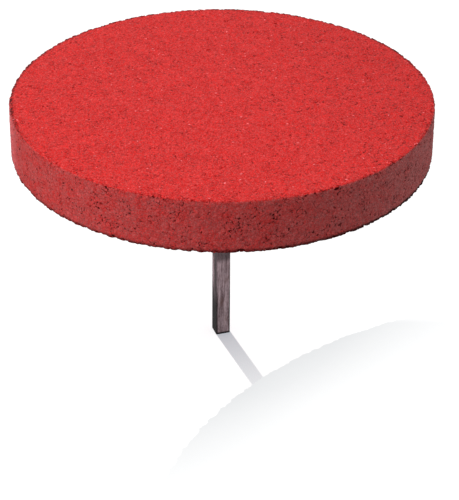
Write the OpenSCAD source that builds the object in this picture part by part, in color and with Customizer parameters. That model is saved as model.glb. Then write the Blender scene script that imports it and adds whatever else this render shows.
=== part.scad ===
// Ground marker: a moulded rubber-granulate disc held clear of the turf by a square steel spike.
// Frame: +Z up, the origin on the spike's axis at ground level, X and Y square to the spike's flats.

/* [Disc] */
// Diameter of the rubber disc
disc_d = 280; // [240:5:320]
// Thickness of the rubber disc
disc_t = 36.5; // [32:0.5:45]
// Rounding of the disc's top edge
top_edge_r = 1.5; // [0.5:0.5:3]
// Rounding of the disc's bottom edge
bottom_edge_r = 1; // [0.5:0.5:3]
// Height of the disc's underside above the ground
stand_off = 147; // [100:1:200]

/* [Anchor plate] */
// Diameter of the steel plate moulded into the disc
plate_d = 180; // [150:5:220]
// Thickness of the steel plate
plate_t = 3; // [2:0.5:4]
// Number of holes in the plate that the rubber grips through
key_holes = 8; // [4:1:12]
// Diameter of each of those holes
key_hole_d = 14; // [8:1:18]
// Diameter of the circle that the holes lie on
key_circle_d = 120; // [90:5:130]

/* [Threaded boss] */
// Diameter of the round boss under the plate
boss_d = 20; // [18:1:26]
// Height of the boss, from the disc's underside to the plate
boss_h = 14; // [12:1:16]
// Diameter of the boss's spigot, which centres it in the plate
spigot_d = 14; // [12:1:16]
// Leg of the fillet weld between boss and plate
weld_leg = 4; // [2:0.5:5]

/* [Spike] */
// Side of the square bar
bar_w = 10; // [10:1:14]
// Bevel along the bar's four long edges
bar_bevel = 0.4; // [0.1:0.1:1]
// Length of the spike below the ground
buried_l = 153; // [100:1:250]
// Length of the four-sided point
point_l = 28; // [15:1:40]
// Width of the blunt end of the point
point_w = 2; // [1:0.5:3]
// Outer diameter of the thread on the stud
thread_d = 10; // [8:1:10]

/* [Fixings] */
// Outer diameter of the backing washer
washer_d = 30; // [24:1:40]
// Thickness of the backing washer
washer_t = 2.5; // [1.5:0.5:3]
// Outer diameter of the spring washer
spring_d = 18; // [17:0.5:19]
// Thickness of the spring washer
spring_t = 2.2; // [1.8:0.1:2.6]
// Width of the slit in the spring washer
spring_slit = 1.2; // [0.8:0.1:2]
// Width across flats of the lock nut
nut_af = 16; // [16:1:17]
// Height of the lock nut
nut_h = 8.4; // [8:0.1:9]

/* [Hidden] */
$fn = 96;

// Heights, from the top down
top_z = stand_off + disc_t;
plate_z = stand_off + boss_h;
washer_z = stand_off - washer_t;
spring_z = washer_z - spring_t;
nut_z = spring_z - nut_h;

// The boss's blind bore: the steel left above it, and the room left above the stud's end
bore_roof = 2;
stud_gap = 1;
bore_depth = boss_h + plate_t - bore_roof;
stud_top_z = stand_off + bore_depth - stud_gap;

// The thread runs out into a thin neck just under the nut
thread_depth = 0.8;
run_out = 1.6;
shoulder_z = nut_z - run_out;
neck_d = thread_d - 2 * thread_depth;
stud_low_bevel = 0.6;
stud_top_bevel = 1;

// Loose fits over the thread, and the bevels of the fixings
washer_gap = 0.25;
spring_gap = 0.1;
washer_bevel = 0.3;
spring_bevel = 0.15;
nut_bevel = 0.9;
// What the nut's bevelled outline has over its corners, so that their middles stay sharp
nut_skim = 0.1;
// Slant of the slit in the spring washer
slit_angle = 30;

// How far the weld's face stands proud of a straight line between its toes, as a share of its leg
weld_crown = 0.03;

// How far a cutting shape runs past what it cuts
past = 1;

// A round bar along Z with its two ends bevelled
module bevelled_bar(d, z_low, z_high, bevel_low, bevel_high) {
    rotate_extrude()
        polygon([
            [0, z_low],
            [d / 2 - bevel_low, z_low],
            [d / 2, z_low + bevel_low],
            [d / 2, z_high - bevel_high],
            [d / 2 - bevel_high, z_high],
            [0, z_high],
        ]);
}

// A flat ring with bevelled outer edges
module ring(d_out, d_in, z_low, height, bevel) {
    difference() {
        bevelled_bar(d_out, z_low, z_low + height, bevel, bevel);
        translate([0, 0, z_low - past])
            cylinder(d = d_in, h = height + 2 * past);
    }
}

// The disc before the steel insert is taken out of it: a drum with rounded rims
module disc_blank() {
    r = disc_d / 2;
    rotate_extrude()
        union() {
            translate([0, stand_off + bottom_edge_r])
                square([r, disc_t - bottom_edge_r - top_edge_r]);
            translate([0, stand_off])
                square([r - bottom_edge_r, disc_t]);
            translate([r - bottom_edge_r, stand_off + bottom_edge_r])
                circle(bottom_edge_r);
            translate([0, top_z - top_edge_r])
                square([r - top_edge_r, top_edge_r]);
            intersection() {
                translate([r - top_edge_r, top_z - top_edge_r])
                    circle(top_edge_r);
                square([r, top_z]);
            }
        }
}

// The plate's solid, with the boss's hole and the keying holes through it
module plate_shape() {
    difference() {
        translate([0, 0, plate_z])
            cylinder(d = plate_d, h = plate_t);
        translate([0, 0, plate_z - past])
            cylinder(d = spigot_d, h = plate_t + 2 * past);
        for (i = [0 : key_holes - 1])
            rotate([0, 0, (i + 0.5) * 360 / key_holes])
                translate([key_circle_d / 2, 0, plate_z - past])
                    cylinder(d = key_hole_d, h = plate_t + 2 * past);
    }
}

// The boss and its spigot, still without the bore
module boss_blank() {
    translate([0, 0, stand_off])
        cylinder(d = boss_d, h = boss_h);
    translate([0, 0, plate_z])
        cylinder(d = spigot_d, h = plate_t);
}

// The weld bead in the corner between the boss and the plate
module weld_shape() {
    middle = weld_leg * (0.5 + weld_crown);
    rotate_extrude()
        polygon([
            [boss_d / 2, plate_z],
            [boss_d / 2, plate_z - weld_leg],
            [boss_d / 2 + middle, plate_z - middle],
            [boss_d / 2 + weld_leg, plate_z],
        ]);
}

// Moulded granulate disc, closed all round the steel insert and gripping it through the holes
module rubber_disc() {
    color("firebrick")
        difference() {
            disc_blank();
            plate_shape();
            boss_blank();
            weld_shape();
        }
}

// Perforated steel plate inside the disc
module anchor_plate() {
    color("slategray")
        plate_shape();
}

// Blind threaded boss, flush with the disc's underside
module threaded_boss() {
    color("lightslategray")
        difference() {
            boss_blank();
            translate([0, 0, stand_off - past])
                cylinder(d = thread_d, h = bore_depth + past);
        }
}

// Fillet weld that joins the boss to the plate
module boss_weld() {
    color("gray")
        weld_shape();
}

// Outline of the square bar with its four edges bevelled
module bar_outline() {
    h = bar_w / 2;
    polygon([
        for (q = [0 : 3])
            for (p = [[h, -h + bar_bevel], [h, h - bar_bevel]])
                [p[0] * cos(90 * q) - p[1] * sin(90 * q), p[0] * sin(90 * q) + p[1] * cos(90 * q)]
    ]);
}

// A slab twice as wide as the bar, tapered to the blunt point in the plane across Y
module point_slab() {
    // The taper's lines run on past the bar's sides, at the slope that the point's length gives
    taper_z = -buried_l + point_l * (2 * bar_w - point_w) / (bar_w - point_w);
    rotate([90, 0, 0])
        linear_extrude(height = 2 * bar_w, center = true)
            polygon([
                [-point_w / 2, -buried_l],
                [point_w / 2, -buried_l],
                [bar_w, taper_z],
                [bar_w, shoulder_z + past],
                [-bar_w, shoulder_z + past],
                [-bar_w, taper_z],
            ]);
}

// Square bar, pointed below and turned down to a threaded stud above
module spike() {
    color("dimgray")
        union() {
            intersection() {
                translate([0, 0, -buried_l])
                    linear_extrude(height = buried_l + shoulder_z)
                        bar_outline();
                point_slab();
                rotate([0, 0, 90])
                    point_slab();
            }
            translate([0, 0, shoulder_z])
                cylinder(d = neck_d, h = run_out);
            bevelled_bar(thread_d, nut_z, stud_top_z, stud_low_bevel, stud_top_bevel);
        }
}

// Large washer that spreads the nut's load over the rubber
module backing_washer() {
    color("silver")
        ring(washer_d, thread_d + 2 * washer_gap, washer_z, washer_t, washer_bevel);
}

// Split washer, pressed flat, with its slanted slit
module spring_washer() {
    wall = (spring_d - thread_d) / 2;
    color("darkgray")
        difference() {
            ring(spring_d, thread_d + 2 * spring_gap, spring_z, spring_t, spring_bevel);
            translate([(thread_d + wall) / 2, 0, spring_z + spring_t / 2])
                rotate([slit_angle, 0, 0])
                    cube([wall + 2 * past, spring_slit, 3 * spring_t], center = true);
        }
}

// Hexagon nut that locks the spike in the boss, with both faces chamfered
module lock_nut() {
    corner_d = nut_af / cos(30);
    color("silver")
        difference() {
            intersection() {
                translate([0, 0, nut_z])
                    cylinder(d = corner_d, h = nut_h, $fn = 6);
                bevelled_bar(corner_d + nut_skim, nut_z, nut_z + nut_h, nut_bevel, nut_bevel);
            }
            translate([0, 0, nut_z - past])
                cylinder(d = thread_d, h = nut_h + 2 * past);
        }
}

rubber_disc();
anchor_plate();
threaded_boss();
boss_weld();
spike();
backing_washer();
spring_washer();
lock_nut();
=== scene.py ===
import math

import bmesh
import bpy
import numpy as np
from mathutils import Matrix, Vector
from mathutils.geometry import delaunay_2d_cdt


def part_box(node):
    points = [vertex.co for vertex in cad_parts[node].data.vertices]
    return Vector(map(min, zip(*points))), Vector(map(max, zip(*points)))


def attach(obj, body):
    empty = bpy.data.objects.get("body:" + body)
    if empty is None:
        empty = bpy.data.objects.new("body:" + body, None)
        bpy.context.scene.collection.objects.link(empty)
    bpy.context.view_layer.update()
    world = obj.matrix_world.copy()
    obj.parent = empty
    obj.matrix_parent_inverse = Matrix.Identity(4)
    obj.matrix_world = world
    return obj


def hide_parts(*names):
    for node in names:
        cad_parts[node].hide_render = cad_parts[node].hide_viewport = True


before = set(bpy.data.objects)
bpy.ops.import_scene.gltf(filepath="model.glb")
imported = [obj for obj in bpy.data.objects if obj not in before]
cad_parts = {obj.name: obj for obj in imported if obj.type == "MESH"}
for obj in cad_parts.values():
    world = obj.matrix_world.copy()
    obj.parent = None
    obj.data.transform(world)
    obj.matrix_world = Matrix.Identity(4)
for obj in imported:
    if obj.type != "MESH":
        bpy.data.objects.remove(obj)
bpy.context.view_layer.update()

# ---------------------------------------------------------------- sizes, in metres, from the frame

DISC_LOW, DISC_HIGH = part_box("rubber_disc")
DISC_R = (DISC_HIGH.x - DISC_LOW.x) / 2
DISC_BOTTOM, DISC_TOP = DISC_LOW.z, DISC_HIGH.z
BOSS_R = (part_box("threaded_boss")[1].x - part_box("threaded_boss")[0].x) / 2
MM = 0.001

# ---------------------------------------------------------------- camera

CAMERA_TURN = math.radians(-18.0)
CAMERA_RISE = math.radians(26.776)
CAMERA_DISTANCE = 4.85 * 2 * DISC_R
CAMERA_YAW = math.radians(0.227)
CAMERA_PITCH = math.radians(4.269)
CAMERA_ROLL = math.radians(0.300)
CAMERA_LENS = 148.14
CAMERA_SENSOR = 36.0


def turned(v):
    """A direction given for a camera that stands square in front, turned to where this camera stands."""
    return Matrix.Rotation(CAMERA_TURN, 3, "Z") @ Vector(v)


def swung(a, b, angle):
    """Two directions square to each other, swung together so that a moves towards b."""
    return a * math.cos(angle) + b * math.sin(angle), b * math.cos(angle) - a * math.sin(angle)


def make_camera():
    """Looks at the middle of the disc's top, then dips, which lifts the disc in the picture."""
    back = Vector((0, -math.cos(CAMERA_RISE), math.sin(CAMERA_RISE)))
    place = Vector((0, 0, DISC_TOP)) + back * CAMERA_DISTANCE
    ahead, right = -back, Vector((1, 0, 0))
    up = Vector((0, math.sin(CAMERA_RISE), math.cos(CAMERA_RISE)))
    ahead, up = swung(ahead, up, -CAMERA_PITCH)
    ahead, right = swung(ahead, right, CAMERA_YAW)
    right, up = swung(right, up, CAMERA_ROLL)
    columns = [turned(c) for c in (right, up, -ahead)]
    data = bpy.data.cameras.new("camera")
    data.lens, data.sensor_width, data.sensor_fit = CAMERA_LENS, CAMERA_SENSOR, "AUTO"
    camera = bpy.data.objects.new("camera", data)
    camera.matrix_world = Matrix.Translation(turned(place)) @ Matrix(columns).transposed().to_4x4()
    bpy.context.scene.collection.objects.link(camera)
    bpy.context.scene.camera = camera


# ---------------------------------------------------------------- node helpers


class Nodes:
    """A node tree that is being built: add() makes a node, sets its properties and wires its inputs."""

    def __init__(self, tree):
        self.tree = tree
        tree.nodes.clear()

    def add(self, kind, inputs=None, **properties):
        node = self.tree.nodes.new(kind)
        for name, value in properties.items():
            setattr(node, name, value)
        for key, value in (inputs or {}).items():
            self.put(node.inputs[key], value)
        return node

    def put(self, socket, value):
        if isinstance(value, bpy.types.NodeSocket):
            self.tree.links.new(value, socket)
        else:
            socket.default_value = value

    def math(self, operation, first, *rest):
        """The operation on one value or two, or on more of them, one after the other."""
        if not rest:
            return self.add("ShaderNodeMath", {0: first}, operation=operation).outputs[0]
        for value in rest:
            first = self.add("ShaderNodeMath", {0: first, 1: value}, operation=operation).outputs[0]
        return first

    def plus(self, *values):
        return self.math("ADD", *values)

    def minus(self, *values):
        return self.math("SUBTRACT", *values)

    def times(self, *values):
        return self.math("MULTIPLY", *values)

    def largest(self, *values):
        return self.math("MAXIMUM", *values)

    def smallest(self, *values):
        return self.math("MINIMUM", *values)

    def vector(self, operation, *values, output="Vector", **named):
        inputs = {**dict(enumerate(values)), **named}
        return self.add("ShaderNodeVectorMath", inputs, operation=operation).outputs[output]

    def ramp(self, value, low, high, to_low=0.0, to_high=1.0, smooth=True):
        """value mapped from low..high to to_low..to_high, held at the ends."""
        kind = "SMOOTHSTEP" if smooth else "LINEAR"
        inputs = {"Value": value, "From Min": low, "From Max": high, "To Min": to_low, "To Max": to_high}
        return self.add("ShaderNodeMapRange", inputs, interpolation_type=kind).outputs["Result"]

    def mix(self, factor, a, b):
        node = self.add("ShaderNodeMix", data_type="RGBA")
        for index, value in ((0, factor), (6, a), (7, b)):
            self.put(node.inputs[index], value)
        return node.outputs[2]

    def noise(self, coords, size, detail=2.0, roughness=0.5, output="Fac"):
        """Soft noise whose features are about size metres across."""
        inputs = {"Vector": coords, "Scale": 1 / size, "Detail": detail, "Roughness": roughness}
        return self.add("ShaderNodeTexNoise", inputs).outputs[output]

    def cell_edges(self, coords, size):
        """How far it is to the next cell's border, in cells that are about size metres across."""
        inputs = {"Vector": coords, "Scale": 1 / size}
        return self.add("ShaderNodeTexVoronoi", inputs, feature="DISTANCE_TO_EDGE").outputs["Distance"]

    def cell_numbers(self, coords, size):
        """Three random numbers for each cell about size metres across, by the names of their channels."""
        colour = self.add("ShaderNodeTexVoronoi", {"Vector": coords, "Scale": 1 / size}).outputs["Color"]
        return self.add("ShaderNodeSeparateColor", {"Color": colour}).outputs

    def here(self):
        """The object's own coordinates."""
        return self.add("ShaderNodeTexCoord").outputs["Object"]

    def axes(self, vector):
        """The x, y and z of a vector."""
        parts = self.add("ShaderNodeSeparateXYZ", {0: vector}).outputs
        return parts["X"], parts["Y"], parts["Z"]

    def from_axis(self, x, y):
        """The distance from the upright axis."""
        return self.math("SQRT", self.plus(self.times(x, x), self.times(y, y)))

    def stretched(self, vector, *scale):
        """Coordinates squeezed by scale, which draws a texture out where the scale is small."""
        return self.vector("MULTIPLY", vector, scale)

    def bump(self, shader, height, strength, distance):
        bump = self.add("ShaderNodeBump", {"Height": height, "Strength": strength, "Distance": distance})
        self.put(shader.inputs["Normal"], bump.outputs[0])


def rgb(red, green, blue):
    """A linear colour from sRGB values of 0 to 255."""
    def linear(v):
        v /= 255
        return v / 12.92 if v <= 0.04045 else ((v + 0.055) / 1.055) ** 2.4
    return (linear(red), linear(green), linear(blue), 1.0)


def grey(level):
    return (level, level, level, 1.0)


def new_material(name, build, **shader_inputs):
    """A material whose Principled shader has shader_inputs as constants and the rest from build()."""
    material = bpy.data.materials.new(name)
    material.use_nodes = True
    nodes = Nodes(material.node_tree)
    shader = nodes.add("ShaderNodeBsdfPrincipled", shader_inputs)
    build(nodes, shader)
    nodes.add("ShaderNodeOutputMaterial", {"Surface": shader.outputs[0]})
    return material


# ---------------------------------------------------------------- stage and light

FLOOR_HALF = 40.0
# how bright the lit floor is, and how bright the lights make a floor of matt white
FLOOR_WHITE = 1.13
FLOOR_LIGHT = 1.35
# what the floor and the world throw on to the object
FLOOR_BOUNCE, BOUNCE_GLOW = grey(0.15), grey(0.09)
WORLD_LIGHT, WORLD_SEEN = grey(0.53), grey(1.0)

# the floor's matt share, which makes the spike's shadow: it falls off with the distance from the spike
MATT_TINT = (1.0, 0.935, 0.88)
MATT_REACH, MATT_SHARE = (5 * MM, 95 * MM), (0.60, 0.26)
MATT_END = (100 * MM, 80 * MM)

# the disc's painted shadow, taken off the floor's glow: the place of the lamp that it is worked out for,
# which is no lamp in the scene, how blurred and how ragged its outline is, how it gets lighter inwards
# and with the distance from the spike, and where its far end fades out
PAINTED_SHADOW_FROM = (-0.13857, 0.27898, 0.2722)
SHADE_BLUR = 0.7 * MM
SHADE_RAGGED = 5 * MM
SHADE_TINT = (1.0, 0.965, 0.93)
SHADE_INWARDS, SHADE_DEPTH = (0, 90 * MM), (0.31, 0.0)
SHADE_AWAY, SHADE_SHARE = (80 * MM, 180 * MM), (1.0, 0.4)
SHADE_END_TOWARDS, SHADE_END = (0.30902, 0.95106, 0.0), (24 * MM, 9 * MM)

# the lights: the directions that they come from as seen from the camera's side, and how strong they are
SUN_FROM = (-0.37, 0.93, 0.72)
SHADOW_SUN, KEY_SUN = 4.5, 2.3
SHADOW_SUN_ANGLE, KEY_SUN_ANGLE = math.radians(1), math.radians(3)
OVERHEAD_FROM, LEFT_FROM, RIGHT_FROM = (-0.5, -0.25, 1.0), (-1.0, -0.65, 0.30), (1.0, 0.15, 0.20)
OVERHEAD_WATTS, LEFT_WATTS, RIGHT_WATTS = 10, 18.6, 10
OVERHEAD_AT, SIDES_AT = 1.5, 2.0
LIGHT_SIZE = 1.0


def painted_disc_shadow(n, at):
    """1 in the painted round shadow that the disc's underside would have from the lamp, else 0, and how far
    in.
    """
    spread = PAINTED_SHADOW_FROM[2] / (PAINTED_SHADOW_FROM[2] - DISC_BOTTOM)
    centre = (PAINTED_SHADOW_FROM[0] * (1 - spread), PAINTED_SHADOW_FROM[1] * (1 - spread), 0)
    from_centre = n.vector("DISTANCE", at, centre, output="Value")
    crumbs = n.minus(n.noise(at, spread * GRANULE), 0.5)
    from_centre = n.plus(from_centre, n.times(crumbs, SHADE_RAGGED))
    into = n.minus(spread * DISC_R, from_centre)
    inside = n.ramp(into, -SHADE_BLUR, SHADE_BLUR)
    beyond = n.vector("DOT_PRODUCT", at, SHADE_END_TOWARDS, output="Value")
    return n.times(inside, n.ramp(beyond, *SHADE_END)), into


def floor_material():
    """White by its own glow, less what the lights add to its matt share, and grey in the two shadows.

    The spike's shadow is the sun that the matt share misses there. The disc's is a painted shadow, taken
    off the glow.
    """
    material = bpy.data.materials.new("floor")
    material.use_nodes = True
    n = Nodes(material.node_tree)
    at = n.here()
    away = n.vector("LENGTH", at, output="Value")
    inside, into = painted_disc_shadow(n, at)
    # the disc's painted shadow, taken off the glow
    painted_shadow_depth = n.times(n.ramp(into, *SHADE_INWARDS, *SHADE_DEPTH, smooth=False),
                  n.ramp(away, *SHADE_AWAY, *SHADE_SHARE, smooth=False))
    share = n.times(n.ramp(away, *MATT_REACH, *MATT_SHARE, smooth=False), n.minus(1.0, inside))
    share = n.times(share, n.ramp(away, *MATT_END))
    matt = n.vector("SCALE", MATT_TINT, Scale=share)
    painted_shadow = n.vector("SCALE", SHADE_TINT, Scale=n.times(painted_shadow_depth, inside))
    glow = n.vector("SUBTRACT", [FLOOR_WHITE] * 3, painted_shadow)
    glow = n.vector("MULTIPLY_ADD", matt, [-FLOOR_LIGHT] * 3, glow)
    bounced = n.add("ShaderNodeLightPath").outputs["Is Diffuse Ray"]
    colour = n.mix(bounced, matt, FLOOR_BOUNCE)
    glow = n.mix(bounced, glow, BOUNCE_GLOW)
    diffuse = n.add("ShaderNodeBsdfDiffuse", {"Color": colour})
    lit = n.add("ShaderNodeEmission", {"Color": glow})
    both = n.add("ShaderNodeAddShader", {0: diffuse.outputs[0], 1: lit.outputs[0]})
    n.add("ShaderNodeOutputMaterial", {"Surface": both.outputs[0]})
    return material


def make_stage():
    """A wide white floor at ground level."""
    mesh = bpy.data.meshes.new("floor")
    half = FLOOR_HALF
    corners = [(-half, -half, 0), (half, -half, 0), (half, half, 0), (-half, half, 0)]
    mesh.from_pydata(corners, [], [(0, 1, 2, 3)])
    floor = bpy.data.objects.new("floor", mesh)
    bpy.context.scene.collection.objects.link(floor)
    mesh.materials.append(floor_material())
    return floor


def make_world():
    """A soft grey light from all round, which looks white itself."""
    world = bpy.data.worlds.new("world")
    world.use_nodes = True
    nodes = Nodes(world.node_tree)
    seen = nodes.add("ShaderNodeLightPath").outputs["Is Camera Ray"]
    colour = nodes.mix(seen, WORLD_LIGHT, WORLD_SEEN)
    background = nodes.add("ShaderNodeBackground", {"Color": colour})
    nodes.add("ShaderNodeOutputWorld", {"Surface": background.outputs[0]})
    bpy.context.scene.world = world


def add_light(name, kind, towards, power, size, floor, on_floor=False, distance=SIDES_AT):
    """A light in the direction towards from the disc.

    It lights the object alone, or else the floor alone, and then only the spike is in its way.
    """
    data = bpy.data.lights.new(name, kind)
    data.energy = power
    if kind == "SUN":
        data.angle = size
    else:
        data.shape, data.size = "DISK", size
    light = bpy.data.objects.new(name, data)
    aim = turned(towards).normalized()
    light.location = Vector((0, 0, DISC_BOTTOM)) + aim * distance
    light.rotation_mode = "QUATERNION"
    light.rotation_quaternion = aim.to_track_quat("Z", "Y")
    light.visible_camera = False
    bpy.context.scene.collection.objects.link(light)
    receivers = bpy.data.collections.new(name + "_receivers")
    receivers.objects.link(floor)
    receivers.collection_objects[0].light_linking.link_state = "INCLUDE" if on_floor else "EXCLUDE"
    light.light_linking.receiver_collection = receivers
    if on_floor:
        blockers = bpy.data.collections.new(name + "_blockers")
        blockers.objects.link(bpy.data.objects["spike"])
        light.light_linking.blocker_collection = blockers


def make_lights(floor):
    """A low sun from behind, a second that draws the spike's shadow on the floor, and three soft boxes."""
    add_light("shadow", "SUN", SUN_FROM, SHADOW_SUN, SHADOW_SUN_ANGLE, floor, on_floor=True)
    add_light("key", "SUN", SUN_FROM, KEY_SUN, KEY_SUN_ANGLE, floor)
    add_light("overhead", "AREA", OVERHEAD_FROM, OVERHEAD_WATTS, LIGHT_SIZE, floor, distance=OVERHEAD_AT)
    add_light("left", "AREA", LEFT_FROM, LEFT_WATTS, LIGHT_SIZE, floor)
    add_light("right", "AREA", RIGHT_FROM, RIGHT_WATTS, LIGHT_SIZE, floor)


# ---------------------------------------------------------------- the granulate's material

RED_LOW, RED_HIGH = rgb(152, 4, 4), rgb(218, 38, 36)
DULL_LOW, DULL_HIGH = rgb(118, 66, 66), rgb(184, 118, 116)
TOP_GAP, SIDE_GAP = rgb(106, 4, 4), rgb(68, 9, 9)
SOIL_AND_SHADE = rgb(44, 10, 10)
GLINT = rgb(240, 140, 146)
RUBBER = {"Roughness": 0.92, "Specular IOR Level": 0.08, "Sheen Weight": 0.04, "Sheen Roughness": 0.35}

# how big the chips, the flakes that they break into and the dust-fine grains are
CHIP_SIZE, FLAKE_SIZE, GRAIN_SIZE = 2.9 * MM, 1.3 * MM, 0.55 * MM
# how much of the red's tone comes from the chip, the flake, the grain and a slow mottle
TONE_SHARES = (0.10, 0.22, 0.56, 0.12)
# how fine and how strong the noise is that bends the chips' outlines
BEND_SIZE, BEND_REACH = 1.6 * MM, 1.1 * MM
# how big the features are of the red's mottle, the side's weathered patches, the groups of open gaps,
# what breaks up the gaps and edges, the glinting flakes and the dust in the relief
MOTTLE_SIZE, PATCH_SIZE, GROUP_SIZE, BREAK_SIZE = 14 * MM, 9 * MM, 7 * MM, 1.5 * MM
GLINT_SIZE, DUST_SIZE = 1.0 * MM, 0.6 * MM
# the stretches of x over which the top's open gaps get more numerous, wider and darker, the side gets
# livelier and greyer by a painted sheen, the lower edge gets more painted shade, and everything gets a
# little darker by painted shade
MORE_GAPS, WIDER_GAPS, DARKER_GAPS = (10 * MM, 110 * MM), (0, 120 * MM), (0, 110 * MM)
LIVELIER_SIDE, PAINTED_SHEEN_SIDE = (20 * MM, 125 * MM), (-50 * MM, 130 * MM)
LOWER_SHADE_X, PAINTED_SHADE_TOWARDS_X = (-60 * MM, 90 * MM), (20 * MM, 130 * MM)
# the upper edge's soil fades inwards, down the side and towards -Y
UPPER_IN, UPPER_DOWN, UPPER_ALONG_Y = (3.6 * MM, 1.6 * MM), (1.7 * MM, 0.9 * MM), (-50 * MM, 30 * MM)
# the lower edge's painted shade, a dark line and a wider ragged band, fades up the side and inwards
LOWER_UP, LOWER_SHADE_UP, LOWER_SHADE_RAGGED = (3.0 * MM, 0.9 * MM), (4.6 * MM, 3.2 * MM), 2.4 * MM
LOWER_IN = (5 * MM, 3 * MM)
# how far the skin lies below the mould's wall where the pits' painted shade starts, and where it is full
PIT_SHADE_DEPTH = (0.75 * MM, 1.3 * MM)
# which way the side's painted sheen faces, and how far out that way it starts and is full; and the
# random numbers of the few flakes with a painted glint
PAINTED_SHEEN_TOWARDS, PAINTED_SHEEN_REACH = (-0.95106, 0.30902, 0.0), (129 * MM, 139 * MM)
GLINTING = (0.9965, 0.9995)


def red_tone(n, at, bent, side, x):
    """The red's tone, chip by chip, flake by flake and grain by grain, and the grains' random numbers."""
    chip = n.cell_numbers(bent, CHIP_SIZE)["Green"]
    flake = n.cell_numbers(bent, FLAKE_SIZE)["Red"]
    grain = n.cell_numbers(at, GRAIN_SIZE)
    mottle = n.noise(at, MOTTLE_SIZE, detail=3.0)
    parts = zip((chip, flake, grain["Blue"], mottle), TONE_SHARES)
    tone = n.plus(*[n.times(part, share) for part, share in parts])
    # the side is calmer than the top towards -X and livelier towards +X
    calm = n.times(side, n.ramp(x, *LIVELIER_SIDE, 0.18, -0.12))
    return n.ramp(tone, 0.10, 0.90, calm, n.minus(1.0, calm), smooth=False), grain


def dulled_red(n, bent, side, x, tone, grain):
    """The red, greyed on the side by a painted sheen that grows towards +X and by patches of weathering,
    and grain by grain everywhere.
    """
    red = n.mix(tone, RED_LOW, RED_HIGH)
    patch = n.ramp(n.noise(bent, PATCH_SIZE, detail=4.0, roughness=0.6), 0.38, 0.62)
    # greyer on the side: a painted sheen, stronger towards +X, with patches of weathering
    sheen_and_weathering = n.plus(n.ramp(x, *PAINTED_SHEEN_SIDE, 0.14, 0.60), n.times(patch, 0.14))
    pale = n.times(n.ramp(grain["Green"], 0.3, 1.0, smooth=False), n.ramp(side, 0, 1, 0.36, 0.42))
    return n.mix(n.plus(n.times(side, sheen_and_weathering), pale), red, n.mix(tone, DULL_LOW, DULL_HIGH))


def gap_arcs(n, at, gap, fine_gap, broken, side, x):
    """Open gaps: short broken arcs between chips and flakes, in loose groups, more of them towards +X."""
    groups = n.noise(at, GROUP_SIZE)
    least = n.ramp(side, 0, 1, n.ramp(x, *MORE_GAPS, 0.505, 0.465), 0.515)
    grouped = n.ramp(groups, n.minus(least, 0.06), n.plus(least, 0.06))
    open_here = n.times(grouped, n.ramp(broken, 0.53, 0.61))
    widest = n.ramp(side, 0, 1, n.ramp(x, *WIDER_GAPS, 0.14, 0.23), 0.14)
    line = n.ramp(gap, widest, 0.05)
    fine_line = n.times(n.ramp(fine_gap, 0.16, 0.04), n.ramp(broken, 0.56, 0.66), 0.6)
    return n.largest(n.times(line, open_here), n.times(fine_line, open_here))


def soil_and_painted_shade(n, broken, from_rim, from_top, from_low, x, y):
    """Soil on the top's edge, but for its -Y side, and painted shade on the lower edge, most of all towards
    +X.
    """
    upper = n.times(n.ramp(from_rim, *UPPER_IN), n.ramp(from_top, *UPPER_DOWN))
    upper = n.times(upper, n.ramp(broken, 0.40, 0.54, 0.25, 0.9), n.ramp(y, *UPPER_ALONG_Y))
    # painted shade on the lower edge, with a ragged border
    ragged = n.plus(from_low, n.times(broken, LOWER_SHADE_RAGGED))
    lower_shade = n.times(n.ramp(ragged, *LOWER_SHADE_UP), n.ramp(from_rim, *LOWER_IN))
    return n.largest(upper, n.times(lower_shade, n.ramp(x, *LOWER_SHADE_X, 0.35, 0.95)))


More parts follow.
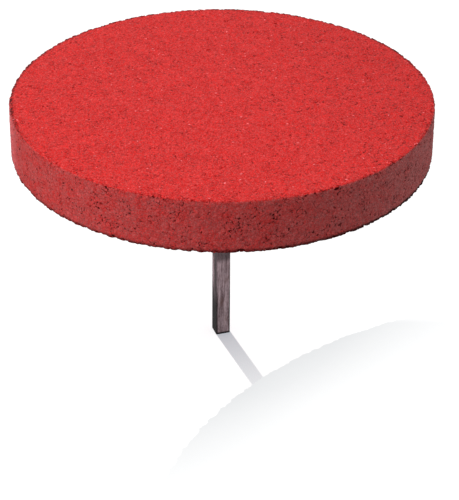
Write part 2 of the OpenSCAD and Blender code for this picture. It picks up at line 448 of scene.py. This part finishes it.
def red_granulate():
    """Bonded rubber chips: red, each a little different, dark in the gaps; painted shade in the pits and on
    the lower edge, a painted sheen on the side and painted glints on a few flakes.
    """
    def build(n, shader):
        at = n.here()
        x, y, z = n.axes(at)
        from_rim = n.minus(DISC_R, n.from_axis(x, y))
        from_top = n.minus(DISC_TOP, z)
        from_low = n.minus(z, DISC_BOTTOM)
        from_flat = n.smallest(from_top, from_low)
        # 1 on the side and 0 on the flat faces
        side = n.ramp(n.minus(from_rim, from_flat), 1 * MM, -1 * MM)

        # the chips' outlines, bent so that they aren't neat polygons
        bend = n.vector("SUBTRACT", n.noise(at, BEND_SIZE, output="Color"), (0.5, 0.5, 0.5))
        bent = n.vector("ADD", at, n.vector("SCALE", bend, Scale=BEND_REACH))
        gap, fine_gap = n.cell_edges(bent, CHIP_SIZE), n.cell_edges(bent, FLAKE_SIZE)
        broken = n.noise(at, BREAK_SIZE, detail=1.0)

        tone, grain = red_tone(n, at, bent, side, x)
        red = dulled_red(n, bent, side, x, tone, grain)

        # dark: the open gaps and a soft line round every chip; painted shade in the pits, on the lower edge
        # and a little towards +X
        arcs = gap_arcs(n, at, gap, fine_gap, broken, side, x)
        shown = n.times(arcs, n.ramp(side, 0, 1, 0.85, 0.95))
        soft_arcs = n.times(n.ramp(gap, 0.14, 0.0), n.ramp(side, 0, 1, 0.14, 0.22))
        # painted shade in the pits: the deeper the skin lies, the darker
        pit_shade = n.ramp(n.smallest(from_rim, from_flat), *PIT_SHADE_DEPTH)
        # painted shade along the lower edge
        lower_edge_shade = n.times(n.ramp(from_low, *LOWER_UP, 0.0, 0.85), n.ramp(broken, 0.30, 0.50))
        lower_edge_shade = n.times(lower_edge_shade, n.ramp(from_rim, *LOWER_IN))
        dark = n.largest(shown, pit_shade, lower_edge_shade, soft_arcs, n.ramp(x, *PAINTED_SHADE_TOWARDS_X, 0.0, 0.12))
        top_gap = n.mix(n.ramp(x, *DARKER_GAPS, 0.0, 0.7), TOP_GAP, SIDE_GAP)
        colour = n.mix(dark, red, n.mix(side, top_gap, SIDE_GAP))
        colour = n.mix(soil_and_painted_shade(n, broken, from_rim, from_top, from_low, x, y), colour, SOIL_AND_SHADE)

        # pale: painted glints on a few flakes, and a painted sheen on the side towards -X
        glint = n.ramp(n.cell_numbers(at, GLINT_SIZE)["Red"], *GLINTING)
        glint = n.times(glint, n.ramp(side, 0, 1, 0.50, 0.12))
        outward = n.vector("DOT_PRODUCT", at, PAINTED_SHEEN_TOWARDS, output="Value")
        painted_sheen = n.ramp(outward, *PAINTED_SHEEN_REACH, 0.0, 0.20)
        painted_sheen = n.times(side, painted_sheen, n.ramp(grain["Blue"], 0, 1, 0.4, 1.6))
        n.put(shader.inputs["Base Color"], n.mix(n.largest(glint, painted_sheen), colour, GLINT))

        height = n.plus(n.ramp(gap, 0.0, 0.22), n.times(n.ramp(fine_gap, 0.0, 0.25), 0.5))
        height = n.plus(height, n.times(n.noise(at, DUST_SIZE), 0.5))
        n.bump(shader, n.minus(height, n.times(arcs, 1.5)), 0.5, 0.16 * MM)
    return new_material("red_granulate", build, **RUBBER)


# ---------------------------------------------------------------- the metals

SCALE_LOW, SCALE_HIGH = rgb(108, 88, 92), rgb(196, 174, 180)
SCALE_BROWN, NEAR_BLACK = rgb(112, 84, 78), rgb(16, 11, 12)
EARTH = rgb(92, 66, 48)
BRIGHT_STEEL, OILED_STEEL = rgb(176, 174, 172), rgb(132, 118, 100)
PLATE_LOW, PLATE_HIGH = rgb(74, 78, 86), rgb(122, 126, 132)
WELD_STRAW, WELD_BLUE = rgb(158, 132, 92), rgb(92, 102, 134)
ZINC_LOW, ZINC_HIGH = rgb(150, 154, 160), rgb(206, 208, 208)
ZINC_DULL = rgb(120, 118, 112)
BLACK_LOW, BLACK_HIGH = rgb(44, 43, 44), rgb(84, 82, 82)

ZINC_ROUGHNESS, BLACK_ROUGHNESS = 0.34, 0.42
LATHE_PITCH = 0.28 * MM
WELD_RIPPLES = 60.0
# how far in from the flats the darkening of the bar's long edges starts, and where it is full
EDGE_START, EDGE_FULL = 1.3 * MM, 0.6 * MM
# how far in the dark skin of the -X face reaches, and where along y it is lightest and darkest
DARK_FACE_SKIN, DARK_FACE_ALONG_Y = (0.45 * MM, 0.05 * MM), (2 * MM, -1.5 * MM)
# heights on the bar: below which the -X face is dark all over, with a wavy border; the painted shade band's
# lower border and its fading upwards; where the scale gets paler upwards; and half of the painted contact
# shadow's
DARK_FACE_LOW, DARK_FACE_WAVE = (70 * MM, 36 * MM), 30 * MM
BAND_START, BAND_FADE = (57 * MM, 62 * MM), (64 * MM, 96 * MM)
PALER_SCALE, CONTACT_SHADOW = (25 * MM, 52 * MM), (2.2 * MM, 0.8 * MM)
# heights below ground: where the earth starts, and where it is rubbed bright towards the point
EARTH_FROM, RUBBED_FROM = (0, -6 * MM), (-95 * MM, -150 * MM)


def mill_scale_steel():
    """Hot-rolled square bar: mauve-grey scale in streaks, dark on one face, painted shade under the disc
    and at ground level, soiled below ground.
    """
    half = (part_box("spike")[1].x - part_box("spike")[0].x) / 2

    def darkening_and_painted_shade(n, x, y, z, broad):
        """How dark the bar is: on the -X face and the long edges, with painted shade under the disc and a
        painted contact shadow at ground level.
        """
        on_left = n.ramp(x, *[-half + depth for depth in DARK_FACE_SKIN])
        low_down = n.ramp(n.plus(z, n.times(broad, DARK_FACE_WAVE)), *DARK_FACE_LOW)
        towards_edge = n.ramp(y, *DARK_FACE_ALONG_Y, 0.3, 0.85)
        face = n.times(on_left, n.largest(low_down, towards_edge))
        at_x, at_y = (n.ramp(n.math("ABSOLUTE", v), half - EDGE_START, half - EDGE_FULL) for v in (x, y))
        edges = n.times(n.times(at_x, at_y), n.ramp(low_down, 0, 1, 0.25, 0.9))
        # painted shade under the disc: a dark band that fades upwards
        painted_shade_band = n.smallest(n.ramp(z, *BAND_START, 0.0, 0.68), n.ramp(z, *BAND_FADE, 0.68, 0.22))
        # a painted contact shadow where the bar meets the floor
        painted_contact_shadow = n.ramp(n.math("ABSOLUTE", z), *CONTACT_SHADOW)
        return n.largest(face, edges, painted_shade_band, painted_contact_shadow)

    def build(n, shader):
        at = n.here()
        x, y, z = n.axes(at)
        along = n.stretched(at, 1, 1, 0.07)
        fine = n.noise(along, 0.9 * MM, detail=3.0, roughness=0.65)
        broad = n.noise(along, 2.6 * MM)
        speck = n.noise(n.stretched(at, 1, 1, 0.4), 0.8 * MM)
        tone = n.plus(n.times(fine, 0.5), n.times(broad, 0.25), n.times(speck, 0.25))
        tone = n.plus(tone, n.ramp(z, *PALER_SCALE, 0.0, 0.035))
        scale = n.mix(n.ramp(tone, 0.40, 0.62, smooth=False), SCALE_LOW, SCALE_HIGH)
        brown = n.ramp(n.noise(n.stretched(at, 1, 1, 0.3), 4 * MM, detail=3.0), 0.56, 0.70)
        scale = n.mix(n.times(brown, 0.5), scale, SCALE_BROWN)
        scale = n.mix(darkening_and_painted_shade(n, x, y, z, broad), scale, NEAR_BLACK)

        # below ground: earth in the streaks, rubbed bright towards the point
        buried = n.ramp(z, *EARTH_FROM)
        earth = n.times(buried, n.ramp(n.noise(along, 3 * MM, detail=4.0, roughness=0.7), 0.42, 0.62))
        scale = n.mix(n.times(earth, 0.75), scale, EARTH)
        rubbed = n.times(n.ramp(z, *RUBBED_FROM), n.ramp(fine, 0.40, 0.60))
        scale = n.mix(n.times(rubbed, 0.7), scale, BRIGHT_STEEL)
        n.put(shader.inputs["Base Color"], scale)
        n.put(shader.inputs["Metallic"], n.times(rubbed, 0.8))
        rough = n.plus(n.times(speck, 0.3), 0.55)
        n.put(shader.inputs["Roughness"], n.minus(rough, n.times(rubbed, 0.3)))
        n.bump(shader, n.plus(n.times(fine, 0.5), speck), 0.35, 0.12 * MM)
    return new_material("mill_scale_steel", build, **{"Specular IOR Level": 0.12})


def plated_steel(name, tint_low, tint_high, roughness, freckle):
    """Plated fixing: a cloudy tint, fine scratches that dull its shine, and a few freckles."""
    def build(n, shader):
        at = n.here()
        cloud = n.noise(at, 5 * MM, detail=3.0)
        scratch = n.noise(n.stretched(at, 1, 0.15, 1), 0.35 * MM)
        tone = n.plus(n.times(cloud, 0.6), n.times(scratch, 0.4))
        colour = n.mix(n.ramp(tone, 0.35, 0.65), tint_low, tint_high)
        dull = n.times(n.ramp(n.noise(at, 0.9 * MM, detail=3.0), 0.60, 0.68), 0.7)
        n.put(shader.inputs["Base Color"], n.mix(dull, colour, freckle))
        n.put(shader.inputs["Metallic"], n.minus(1.0, n.times(dull, 0.6)))
        rough = n.plus(n.times(cloud, 0.2), roughness - 0.1)
        n.put(shader.inputs["Roughness"], n.plus(rough, n.times(dull, 0.3)))
        n.bump(shader, n.plus(scratch, n.times(dull, 0.6)), 0.25, 0.05 * MM)
    return new_material(name, build)


def turned_steel():
    """Lathe-turned steel: fine rings round the axis and a thin oil-brown film in places."""
    def build(n, shader):
        at = n.here()
        x, y, z = n.axes(at)
        rings = n.math("SINE", n.times(n.plus(n.from_axis(x, y), z), 2 * math.pi / LATHE_PITCH))
        film = n.ramp(n.noise(at, 4 * MM, detail=3.0), 0.45, 0.65)
        colour = n.mix(n.times(film, 0.6), BRIGHT_STEEL, OILED_STEEL)
        n.put(shader.inputs["Base Color"], n.mix(n.ramp(rings, -1, 1, 0.0, 0.18), colour, NEAR_BLACK))
        n.put(shader.inputs["Roughness"], n.ramp(film, 0, 1, 0.28, 0.5))
        n.bump(shader, rings, 0.3, 0.03 * MM)
    return new_material("turned_steel", build, Metallic=1.0)


def plate_steel():
    """Hot-rolled sheet: blue-grey scale in clouds, with pale scuffs where it was handled."""
    def build(n, shader):
        at = n.here()
        cloud = n.noise(at, 18 * MM, detail=5.0, roughness=0.6)
        grit = n.noise(at, 0.8 * MM)
        tone = n.plus(n.times(cloud, 0.7), n.times(grit, 0.3))
        colour = n.mix(n.ramp(tone, 0.38, 0.62), PLATE_LOW, PLATE_HIGH)
        scuff = n.ramp(n.noise(n.stretched(at, 0.12, 1, 1), 1.2 * MM, detail=3.0), 0.60, 0.72)
        n.put(shader.inputs["Base Color"], n.mix(n.times(scuff, 0.6), colour, BRIGHT_STEEL))
        n.put(shader.inputs["Roughness"], n.plus(n.times(grit, 0.3), 0.35))
        n.bump(shader, grit, 0.3, 0.08 * MM)
    return new_material("plate_steel", build, Metallic=0.6)


def weld_metal():
    """Weld bead: ripples round the boss, straw and blue temper colours, a little soot."""
    def build(n, shader):
        at = n.here()
        x, y, _ = n.axes(at)
        wander = n.times(n.noise(at, 3 * MM), 1.5)
        ripple = n.math("SINE", n.plus(n.times(n.math("ARCTAN2", y, x), WELD_RIPPLES), wander))
        colour = n.mix(n.ramp(n.noise(at, 6 * MM), 0.35, 0.65), WELD_STRAW, WELD_BLUE)
        n.put(shader.inputs["Base Color"], n.mix(n.ramp(ripple, -1, 1, 0.35, 0.0), colour, NEAR_BLACK))
        n.put(shader.inputs["Roughness"], n.ramp(ripple, -1, 1, 0.55, 0.32))
        n.bump(shader, ripple, 0.8, 0.2 * MM)
    return new_material("weld_metal", build, Metallic=0.85)


def finish_metal():
    """Gives each CAD node that shows as it is its own metal."""
    zinc = plated_steel("zinc_plate", ZINC_LOW, ZINC_HIGH, ZINC_ROUGHNESS, ZINC_DULL)
    blackened = plated_steel("blackened_spring_steel", BLACK_LOW, BLACK_HIGH, BLACK_ROUGHNESS, SCALE_BROWN)
    finishes = {
        "spike": mill_scale_steel(),
        "backing_washer": zinc,
        "lock_nut": zinc,
        "spring_washer": blackened,
        "threaded_boss": turned_steel(),
        "anchor_plate": plate_steel(),
        "boss_weld": weld_metal(),
    }
    for node, material in finishes.items():
        for slot in bpy.data.objects[node].material_slots:
            slot.material = material


# ---------------------------------------------------------------- the granulate's shape

# how big the granules are, and the smaller chips that fill in between them
GRANULE = 3.0 * MM
CHIP = 1.6 * MM
# how far apart the skin's points are, on the top and side and on the underside, and its faces in the end
SKIN_SPACING = 0.75 * MM
UNDER_SPACING = 1.1 * MM
SKIN_TRIANGLES = 192000
# the side's rows are this much closer than its points, and the flat faces' points are shaken by so much
ROW_PITCH = 0.87
POINT_SHAKE = 0.18
# roundings of the disc's two edges, and how far in from them the skin crumbles
TOP_CORNER, LOW_CORNER = 1.2 * MM, 1.0 * MM
CORNER_ANGLES = (0.0, 0.25 * math.pi, 0.5 * math.pi)
CRUMBLING = (0.8 * MM, 3.5 * MM)
# how far round the boss the skin keeps its CAD height
SEAT_REACH = 2 * MM
# the waves that bend the granules' outlines, and how far, both in granules
BEND_WAVES, BEND_SHARE = (2.1, 1.1), 0.11

# depths in mm, and the share of chips that are lost: on the flat faces, then what the side adds,
# then what the edges add
GAP_DEPTH = (0.16, 0.16, 0.10)
SUNK_DEPTH = (0.10, 0.14, 0.50)
HOLE_DEPTH = (1.1, 0.0, 0.6)
CHIPS_LOST = (0.012, 0.008, 0.030)
# the shares of granules lost at the upper and the lower edge, and the numbers of those that are sunk
LOST_ABOVE, LOST_BELOW = 0.06, 0.08
SUNK_FROM, SUNK_RANGE = 0.55, 0.45
# the depths of a lost chip, of the gaps between chips and of the steps from one chip to the next
CHIP_HOLE_DEPTH, CHIP_GAP_DEPTH, CHIP_STEP = 1.1 * MM, 0.12 * MM, 0.10 * MM
# where the slopes of the gaps and the holes begin and end, by how far a point is inside its granule
GAP_SLOPE, HOLE_SLOPE = (0.0, 0.9 * MM), (0.05 * MM, 0.8 * MM)
CHIP_GAP_SLOPE, CHIP_HOLE_SLOPE = (0.0, 0.6 * MM), (0.0, 0.5 * MM)

GRANULE_SALT, CHIP_SALT = 11, 29
RANDOM_SEED = 7
SHARP_ANGLE = math.radians(60)


def whole_hash(cells, salt):
    """Random numbers from 0 to 1, one for each row of whole-number cell places."""
    h = np.full(len(cells), salt, np.uint32)
    for column in range(3):
        h = (h ^ cells[:, column].astype(np.uint32)) * np.uint32(2654435761)
        h ^= h >> np.uint32(15)
        h *= np.uint32(2246822519)
        h ^= h >> np.uint32(13)
    return h.astype(np.float64) / 2**32


def granules(points, size, salt):
    """For each point: how far it is inside its granule, 0 midway between two, and the granule's number."""
    scaled = points / size
    base = np.floor(scaled).astype(np.int64)
    nearest = np.full(len(points), np.inf)
    second = np.full(len(points), np.inf)
    owner = np.zeros(len(points))
    for step in np.ndindex(3, 3, 3):
        cell = base + np.array(step) - 1
        place = cell + np.stack([whole_hash(cell, salt + k) for k in range(3)], axis=1)
        away = np.linalg.norm(place - scaled, axis=1)
        closer = away < nearest
        second = np.where(closer, nearest, np.minimum(second, away))
        owner = np.where(closer, whole_hash(cell, salt + 3), owner)
        nearest = np.where(closer, away, nearest)
    return (second - nearest) * size, owner


def smooth_step(x, low, high):
    t = np.clip((x - low) / (high - low), 0, 1)
    return t * t * (3 - 2 * t)


def shaken(points, size, rng):
    """The points, pushed about smoothly so that what is drawn at them loses its neat outlines."""
    moved = points.copy()
    for wave in BEND_WAVES:
        for axis in range(3):
            direction = rng.normal(size=3)
            direction *= 2 * math.pi / (wave * size * np.linalg.norm(direction))
            turn = points @ direction + rng.uniform(0, 2 * math.pi)
            moved[:, axis] += BEND_SHARE * wave * size * np.sin(turn)
    return moved


def varied(amounts, side, edge):
    """The amount on a flat face, with what the side and the edges add to it."""
    flat, more_on_side, more_at_edge = amounts
    return flat + more_on_side * side + more_at_edge * edge


def relief(points, side, edge, rng):
    """How far the skin lies below the mould's wall. side is 1 on the disc's side, edge 1 at its edges."""
    bent = shaken(points, GRANULE, rng)
    inside, number = granules(bent, GRANULE, GRANULE_SALT)
    chip_inside, chip = granules(bent, CHIP, CHIP_SALT)
    # shallow gaps between the granules, some of which lie deeper than the others
    gap = varied(GAP_DEPTH, side, edge) * MM * (1 - smooth_step(inside, *GAP_SLOPE))
    sunk = varied(SUNK_DEPTH, side, edge) * MM * np.clip((number - SUNK_FROM) / SUNK_RANGE, 0, 1)
    # granules lost from the edges, more of them below, and chips lost from anywhere
    on_top = points[:, 2] > (DISC_TOP + DISC_BOTTOM) / 2
    lost = number < np.where(on_top, LOST_ABOVE, LOST_BELOW) * edge
    hole = varied(HOLE_DEPTH, side, edge) * MM * smooth_step(inside, *HOLE_SLOPE) * lost
    chip_lost = chip < varied(CHIPS_LOST, side, edge)
    hole = np.maximum(hole, CHIP_HOLE_DEPTH * smooth_step(chip_inside, *CHIP_HOLE_SLOPE) * chip_lost)
    chips = CHIP_GAP_DEPTH * (1 - smooth_step(chip_inside, *CHIP_GAP_SLOPE)) + CHIP_STEP * chip
    return gap + sunk + hole + chips


def hex_points(radius, spacing, rng):
    """Points about spacing apart over a round patch, slightly shaken so that no rows show."""
    pitch = spacing * math.sqrt(3) / 2
    rows = []
    for row in range(-int(radius / pitch) - 1, int(radius / pitch) + 2):
        x = np.arange(-radius - spacing, radius + spacing, spacing) + (row % 2) * spacing / 2
        rows.append(np.stack([x, np.full_like(x, row * pitch)], axis=1))
    points = np.concatenate(rows)
    return points + rng.uniform(-POINT_SHAKE, POINT_SHAKE, points.shape) * spacing


def flat_patch(loops, spacing, rng):
    """Triangles inside the first loop, less the inside of a second. The loops' points come first."""
    radius = np.linalg.norm(loops[0], axis=1).min()
    field = hex_points(radius, spacing, rng)
    away = np.linalg.norm(field, axis=1)
    margin = 0.6 * spacing
    hole = np.linalg.norm(loops[1], axis=1).max() + margin if len(loops) > 1 else 0
    field = field[(away < radius - margin) & (away >= hole)]
    edges, start = [], 0
    for loop in loops:
        edges += [(start + i, start + (i + 1) % len(loop)) for i in range(len(loop))]
        start += len(loop)
    places = [Vector(p) for p in np.concatenate([*loops, field])]
    made = delaunay_2d_cdt(places, edges, [], 1, 1e-9)
    hole_rim = range(len(loops[0]), start)
    triangles = [f for f in made[2] if not all(v in hole_rim for v in f)]
    return np.array([tuple(p) for p in made[0]]), triangles


def insert_cavity():
    """The CAD disc's faces round its steel insert: points, faces, and the loop at the boss, in order."""
    cad = bmesh.new()
    cad.from_mesh(bpy.data.objects["rubber_disc"].data)
    bmesh.ops.remove_doubles(cad, verts=cad.verts, dist=1e-6)
    outer = [f for f in cad.faces if any(v.co.xy.length > 0.9 * DISC_R for v in f.verts)]
    bmesh.ops.delete(cad, geom=outer, context="FACES")
    cad.verts.index_update()
    points = np.array([v.co[:] for v in cad.verts])
    faces = [tuple(v.index for v in f.verts) for f in cad.faces]
    rim = {v.index for e in cad.edges if e.is_boundary for v in e.verts}
    loop = sorted(rim, key=lambda i: math.atan2(*points[i, :2]), reverse=True)
    cad.free()
    return points, faces, np.array(loop)


def side_profile():
    """The side from the top face's edge to the underside's: radius, height, and the normal's out and up."""
    def corner(size, face, up):
        return [
            (DISC_R - size * (1 - out), face - up * size * (1 - level), out, up * level)
            for out, level in ((math.sin(a), math.cos(a)) for a in CORNER_ANGLES)
        ]
    rows = int((DISC_TOP - DISC_BOTTOM - TOP_CORNER - LOW_CORNER) / (SKIN_SPACING * ROW_PITCH))
    heights = np.linspace(DISC_TOP - TOP_CORNER, DISC_BOTTOM + LOW_CORNER, rows + 1)[1:-1]
    wall = [(DISC_R, z, 1.0, 0.0) for z in heights]
    return corner(TOP_CORNER, DISC_TOP, 1) + wall + corner(LOW_CORNER, DISC_BOTTOM, -1)[::-1]


def side_rings(profile, around):
    """The profile's rings, every other one turned by half a step, with their normals and faces."""
    angle = np.arange(around) * 2 * math.pi / around
    points, normals, faces = [], [], []
    for k, (r, z, out, up) in enumerate(profile):
        turn = angle + (k % 2) * math.pi / around
        c, s = np.cos(turn), np.sin(turn)
        points.append(np.stack([r * c, r * s, np.full(around, z)], axis=1))
        normals.append(np.stack([out * c, out * s, np.full(around, up)], axis=1))
    i = np.arange(around)
    j = (i + 1) % around
    for k in range(len(profile) - 1):
        a, b = k * around, (k + 1) * around
        if k % 2:
            faces += [*zip(a + i, b + j, a + j), *zip(a + i, b + i, b + j)]
        else:
            faces += [*zip(a + i, b + i, a + j), *zip(a + j, b + i, b + j)]
    return np.concatenate(points), np.concatenate(normals), faces


def disc_skin(rng):
    """The disc's smooth shell, closed round the CAD disc's cavity, and the range of the cavity's points."""
    around = int(2 * math.pi * DISC_R / SKIN_SPACING)
    profile = side_profile()
    points, normals, faces = side_rings(profile, around)
    cavity, cavity_faces, seat = insert_cavity()
    kept = range(len(points), len(points) + len(cavity))
    faces += [tuple(int(v) + kept.start for v in f) for f in cavity_faces]
    points, normals = np.concatenate([points, cavity]), np.concatenate([normals, np.zeros_like(cavity)])
    # the flat faces end at the profile's first and last rings, and the underside at the boss's seat too
    first = np.arange(around)
    last = (len(profile) - 1) * around + first
    top = (1.0, [first], SKIN_SPACING)
    underside = (-1.0, [last, seat + kept.start], UNDER_SPACING)
    for up, loops, spacing in (top, underside):
        patch, triangles = flat_patch([points[loop, :2] for loop in loops], spacing, rng)
        shared = np.concatenate(loops)
        extra = patch[len(shared):]
        number = np.concatenate([shared, len(points) + np.arange(len(extra))])
        points = np.concatenate([points, np.c_[extra, np.full(len(extra), points[shared[0], 2])]])
        normals = np.concatenate([normals, np.tile((0, 0, up), (len(extra), 1))])
        for f in triangles:
            f = [int(number[v]) for v in f]
            faces.append(f if up > 0 else f[::-1])
    return points, normals, faces, kept


def make_disc():
    """The rubber disc with its granules, pits and crumbled edges, in the place of the CAD's smooth one."""
    rng = np.random.default_rng(RANDOM_SEED)
    points, normals, faces, kept = disc_skin(rng)
    r = np.hypot(points[:, 0], points[:, 1])
    from_rim = np.clip(DISC_R - r, 0, None)
    to_top = np.hypot(from_rim, DISC_TOP - points[:, 2])
    to_low = np.hypot(from_rim, points[:, 2] - DISC_BOTTOM)
    edge = 1 - smooth_step(np.minimum(to_top, to_low), *CRUMBLING)
    side = np.abs(normals[:, 2]) < 0.8
    clear_of_seat = smooth_step(r, BOSS_R, BOSS_R + SEAT_REACH) + (points[:, 2] > DISC_BOTTOM + 1 * MM)
    points -= normals * (relief(points, side, edge, rng) * np.minimum(clear_of_seat, 1))[:, None]

    mesh = bpy.data.meshes.new("granulate_disc")
    mesh.from_pydata(points, [], faces)
    mesh.update()
    disc = bpy.data.objects.new("granulate_disc", mesh)
    bpy.context.scene.collection.objects.link(disc)
    mesh.materials.append(red_granulate())
    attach(disc, "root")
    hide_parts("rubber_disc")

    # thin the skin's flatter places out, but not the cavity
    skin = disc.vertex_groups.new(name="skin")
    skin.add([i for i in range(len(points)) if i not in kept], 1.0, "REPLACE")
    thin = disc.modifiers.new("thin", "DECIMATE")
    thin.ratio, thin.vertex_group = SKIN_TRIANGLES / len(faces), skin.name
    graph = bpy.context.evaluated_depsgraph_get()
    thinned = bpy.data.meshes.new_from_object(disc.evaluated_get(graph), depsgraph=graph)
    disc.modifiers.clear()
    disc.data = thinned
    disc.vertex_groups.clear()
    disc.data.shade_smooth()
    disc.data.set_sharp_from_angle(angle=SHARP_ANGLE)


make_camera()
make_lights(make_stage())
make_world()
bpy.context.scene.view_settings.view_transform = "Standard"
make_disc()
finish_metal()
